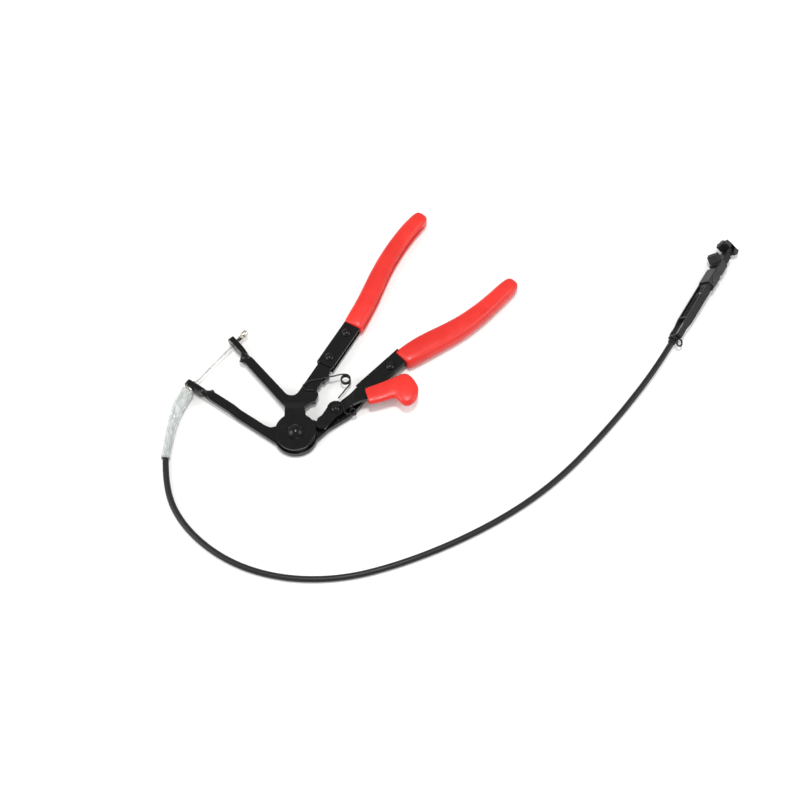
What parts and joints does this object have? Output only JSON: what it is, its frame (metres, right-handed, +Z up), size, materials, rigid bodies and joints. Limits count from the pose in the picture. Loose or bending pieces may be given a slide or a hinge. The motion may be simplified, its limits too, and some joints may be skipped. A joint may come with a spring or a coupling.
{
  "type": "cable-operated hose clamp pliers",
  "caption": "Ratcheting pliers that pull a wire through a long flexible casing to close a small swivel-jaw head on spring-band hose clamps.",
  "frame": {"origin": "centre of the bounding box of the pliers and head, without the cable, at the height of the surface the tool lies on", "axes": "+Z up, away from that surface; +X across from the cable end of the pliers to the head; +Y along the way the handles point"},
  "size_m": [0.4855, 0.3378, 0.02],
  "materials": {
    "lever_steel": "satin black, stamped",
    "disc_rivet": "dull",
    "channel_steel": "satin black",
    "red_grip": "dipped vinyl, soft gloss",
    "spring_steel": "dark drawn wire",
    "bright_wire": "stranded steel",
    "nickel": "nickel-plated",
    "clear_vinyl": "clear soft sleeve",
    "casing_black": "smooth black",
    "head_black": "black oxide",
    "head_grey": "grey steel",
    "jaw_grey": "dark hardened steel"
  },
  "bodies": {
    "lower_side": {"lever_b": "lever_steel", "pivot_rivet": "disc_rivet", "pivot_washer": "disc_rivet", "handle_channel_b": "channel_steel", "handle_rivets_b": "disc_rivet", "grip_b": "red_grip", "pawl_rivet": "disc_rivet", "pawl_washer": "disc_rivet", "pawl_spring": "spring_steel", "cable_sleeve": "clear_vinyl", "cable_liner": "bright_wire", "cable_casing": "casing_black", "inner_wire": "bright_wire", "head_socket": "head_black", "wire_clip": "spring_steel", "head_fork": "head_black", "fork_rivets": "head_grey", "spring_seat": "head_black", "return_spring": "spring_steel", "head_channel": "head_grey", "near_jaw_pin": "head_grey"},
    "upper_side": {"lever_a": "lever_steel", "handle_channel_a": "channel_steel", "handle_rivets_a": "disc_rivet", "grip_a": "red_grip"},
    "pawl_arm": {"pawl": "lever_steel", "pawl_grip": "red_grip"},
    "opening_spring": {"handle_spring": "spring_steel"},
    "pull_wire_end": {"pull_wire": "bright_wire", "wire_end_fitting": "nickel"},
    "ferrule": {"cable_ferrule": "nickel"},
    "slider": {"slider_bar": "head_grey", "wire_crimp": "nickel", "head_wire": "bright_wire", "end_jaw_pin": "head_grey"},
    "near_swivel": {"near_jaw": "jaw_grey"},
    "end_swivel": {"end_jaw": "jaw_grey"}
  },
  "joints": [
    {"name": "handle_squeeze", "type": "hinge", "parent": "lower_side", "child": "upper_side", "pos_m": [-0.14017, -0.09837, 0.0078], "axis": [0, 0, -1], "range_deg": [0, 11], "stiffness_Nm_per_rad": 0.35, "springref_deg": -20.05, "deforming": ["handle_spring"]},
    {"name": "pawl_swing", "type": "hinge", "parent": "lower_side", "child": "pawl_arm", "pos_m": [-0.10867, -0.07737, 0.0103], "axis": [0, 0, 1], "range_deg": [0, 5], "stiffness_Nm_per_rad": 0.03, "springref_deg": -8.59, "deforming": ["pawl_spring"]},
    {"name": "spring_float", "type": "hinge", "parent": "lower_side", "child": "opening_spring", "pos_m": [-0.14017, -0.09837, 0.0078], "axis": [0, 0, -1], "range_deg": [0, 5.6]},
    {"name": "wire_swing", "type": "hinge", "parent": "upper_side", "child": "pull_wire_end", "pos_m": [-0.19417, -0.01437, 0.0078], "axis": [0, 0, 1], "range_deg": [0, 4.7]},
    {"name": "ferrule_swivel", "type": "hinge", "parent": "lower_side", "child": "ferrule", "pos_m": [-0.22617, -0.05437, 0.0078], "axis": [0, 0, -1], "range_deg": [0, 6.7], "deforming": ["cable_sleeve"]},
    {"name": "jaw_draw", "type": "slide", "parent": "lower_side", "child": "slider", "axis": [-0.5299, -0.848, 0], "range_m": [0, 0.0071], "deforming": ["return_spring"]},
    {"name": "near_jaw_turn", "type": "hinge", "parent": "lower_side", "child": "near_swivel", "pos_m": [0.21326, 0.06755, 0.01248], "axis": [-0.6683, 0.4176, 0.6157], "range_deg": [-20, 20]},
    {"name": "end_jaw_turn", "type": "hinge", "parent": "slider", "child": "end_swivel", "pos_m": [0.22809, 0.07998, 0.0078], "axis": [-0.6683, 0.4176, 0.6157], "range_deg": [-30, 10]}
  ],
  "couplings": [
    {"joint": "spring_float", "follows": "handle_squeeze", "ratio": 0.5},
    {"joint": "wire_swing", "follows": "handle_squeeze", "ratio": 0.4105},
    {"joint": "ferrule_swivel", "follows": "handle_squeeze", "ratio": 0.589},
    {"joint": "jaw_draw", "follows": "handle_squeeze", "m_per_rad": 0.03646}
  ]
}
